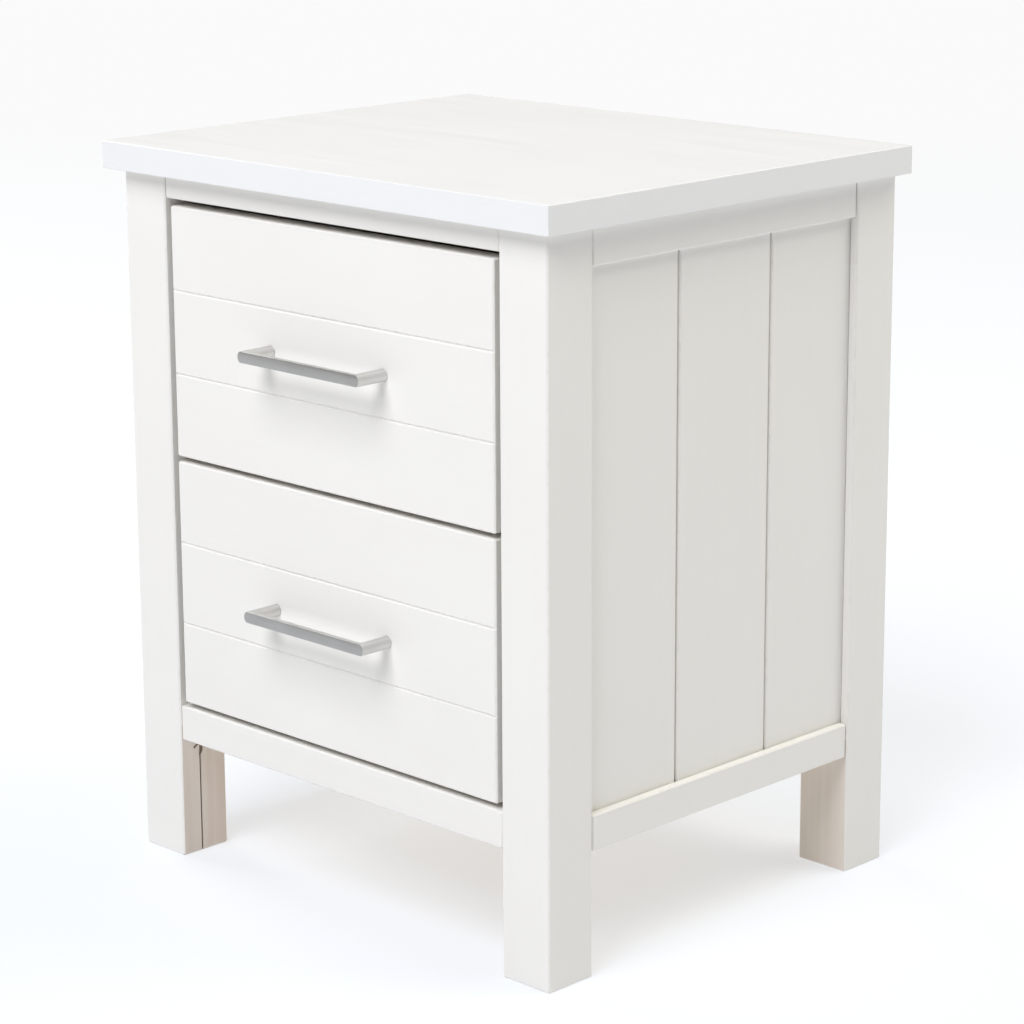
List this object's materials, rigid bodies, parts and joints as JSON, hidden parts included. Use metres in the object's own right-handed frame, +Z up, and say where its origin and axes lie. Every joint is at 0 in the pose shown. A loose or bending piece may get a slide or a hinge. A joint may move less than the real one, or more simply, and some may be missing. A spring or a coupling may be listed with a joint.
{
  "type": "nightstand",
  "caption": "Painted timber bedside cabinet: stacked drawers with grooved fronts and bar handles, boarded sides, square legs and an overhanging top.",
  "frame": {"origin": "on the floor, under the middle of the whole object's box, handles included", "axes": "+Z up; the drawers open towards -Y; +X is to the right of someone facing the drawers"},
  "size_m": [0.5, 0.4328, 0.6],
  "materials": {
    "top_paint": "satin white paint, smooth",
    "body_paint": "satin warm white paint, faint grain",
    "box_wood": "clear lacquered pine",
    "plywood": "plain sanded plywood",
    "slide_steel": "zinc-plated",
    "handle_metal": "satin nickel",
    "screw_steel": "zinc-plated"
  },
  "bodies": {
    "case": {"top_panel": "top_paint", "front_top_rail": "body_paint", "front_bottom_rail": "body_paint", "back_top_rail": "body_paint", "back_bottom_rail": "body_paint", "back_panel": "body_paint", "bottom_panel": "plywood", "front_left_leg": "body_paint", "back_left_leg": "body_paint", "left_top_rail": "body_paint", "left_bottom_rail": "body_paint", "left_side_board_front": "body_paint", "left_side_board_middle": "body_paint", "left_side_board_back": "body_paint", "upper_left_slide_batten": "plywood", "lower_left_slide_batten": "plywood", "left_top_cleat": "plywood", "front_right_leg": "body_paint", "back_right_leg": "body_paint", "right_top_rail": "body_paint", "right_bottom_rail": "body_paint", "right_side_board_front": "body_paint", "right_side_board_middle": "body_paint", "right_side_board_back": "body_paint", "upper_right_slide_batten": "plywood", "lower_right_slide_batten": "plywood", "right_top_cleat": "plywood", "upper_left_slide_case_member": "slide_steel", "upper_right_slide_case_member": "slide_steel", "lower_left_slide_case_member": "slide_steel", "lower_right_slide_case_member": "slide_steel"},
    "upper_drawer": {"upper_drawer_front": "body_paint", "upper_drawer_inner_front": "box_wood", "upper_drawer_left_side": "box_wood", "upper_drawer_right_side": "box_wood", "upper_drawer_back": "box_wood", "upper_drawer_bottom": "plywood", "upper_handle": "handle_metal", "upper_handle_left_screw": "screw_steel", "upper_handle_right_screw": "screw_steel", "upper_left_slide_drawer_member": "slide_steel", "upper_right_slide_drawer_member": "slide_steel"},
    "lower_drawer": {"lower_drawer_front": "body_paint", "lower_drawer_inner_front": "box_wood", "lower_drawer_left_side": "box_wood", "lower_drawer_right_side": "box_wood", "lower_drawer_back": "box_wood", "lower_drawer_bottom": "plywood", "lower_handle": "handle_metal", "lower_handle_left_screw": "screw_steel", "lower_handle_right_screw": "screw_steel", "lower_left_slide_drawer_member": "slide_steel", "lower_right_slide_drawer_member": "slide_steel"},
    "upper_slide_middles": {"upper_left_slide_middle_member": "slide_steel", "upper_right_slide_middle_member": "slide_steel"},
    "lower_slide_middles": {"lower_left_slide_middle_member": "slide_steel", "lower_right_slide_middle_member": "slide_steel"}
  },
  "joints": [
    {"name": "upper_drawer_slide", "type": "slide", "parent": "case", "child": "upper_drawer", "axis": [0, -1, 0], "range_m": [0, 0.35]},
    {"name": "upper_slide_middles_travel", "type": "slide", "parent": "case", "child": "upper_slide_middles", "axis": [0, -1, 0], "range_m": [0, 0.175]},
    {"name": "lower_drawer_slide", "type": "slide", "parent": "case", "child": "lower_drawer", "axis": [0, -1, 0], "range_m": [0, 0.35]},
    {"name": "lower_slide_middles_travel", "type": "slide", "parent": "case", "child": "lower_slide_middles", "axis": [0, -1, 0], "range_m": [0, 0.175]}
  ],
  "couplings": [
    {"joint": "upper_slide_middles_travel", "follows": "upper_drawer_slide", "ratio": 0.5},
    {"joint": "lower_slide_middles_travel", "follows": "lower_drawer_slide", "ratio": 0.5}
  ]
}
